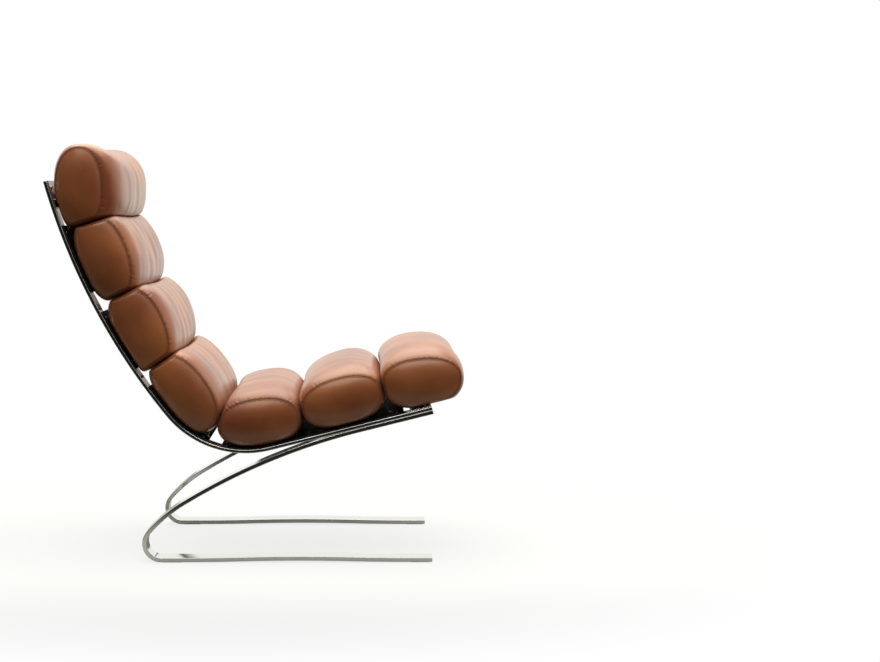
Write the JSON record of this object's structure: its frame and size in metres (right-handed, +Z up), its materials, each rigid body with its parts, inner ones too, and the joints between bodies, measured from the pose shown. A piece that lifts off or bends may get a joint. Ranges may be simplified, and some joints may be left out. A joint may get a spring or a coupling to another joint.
{
  "type": "lounge chair",
  "caption": "Armless cantilever lounge chair: bent flat chromed bars carry plump tan leather rolls on black cross bands.",
  "frame": {"origin": "on the floor, below the middle of the chair's overall box", "axes": "+Z up, +X the way the sitter faces, +Y to the sitter's left"},
  "size_m": [1.0002, 0.6182, 1.0013],
  "materials": {
    "chrome_bar": "polished chrome on flat spring steel",
    "black_band": "black saddle leather band",
    "tan_leather": "soft cognac aniline leather with a low sheen",
    "foam": "moulded foam",
    "slat_wood": "bare moulded plywood",
    "bright_fastener": "bright plated steel",
    "glide_plastic": "matte dark plastic"
  },
  "bodies": {
    "root": {"right_base_bar": "chrome_bar", "left_base_bar": "chrome_bar", "right_seat_strip": "chrome_bar", "left_seat_strip": "chrome_bar", "front_crossbar": "chrome_bar", "top_crossbar": "chrome_bar", "seat_sling": "black_band", "lower_back_band": "black_band", "middle_back_band": "black_band", "upper_back_band": "black_band", "front_seat_roll_cover": "tan_leather", "middle_seat_roll_cover": "tan_leather", "rear_seat_roll_cover": "tan_leather", "lower_back_roll_cover": "tan_leather", "middle_back_roll_cover": "tan_leather", "upper_back_roll_cover": "tan_leather", "head_roll_cover": "tan_leather", "front_seat_roll_core": "foam", "middle_seat_roll_core": "foam", "rear_seat_roll_core": "foam", "lower_back_roll_core": "foam", "middle_back_roll_core": "foam", "upper_back_roll_core": "foam", "head_roll_core": "foam", "front_seat_roll_slat": "slat_wood", "middle_seat_roll_slat": "slat_wood", "rear_seat_roll_slat": "slat_wood", "lower_back_roll_slat": "slat_wood", "middle_back_roll_slat": "slat_wood", "upper_back_roll_slat": "slat_wood", "head_roll_slat": "slat_wood", "frame_bolts": "bright_fastener", "band_screws": "bright_fastener", "slat_screws": "bright_fastener", "roll_clips": "bright_fastener", "floor_glides": "glide_plastic"}
  },
  "joints": []
}
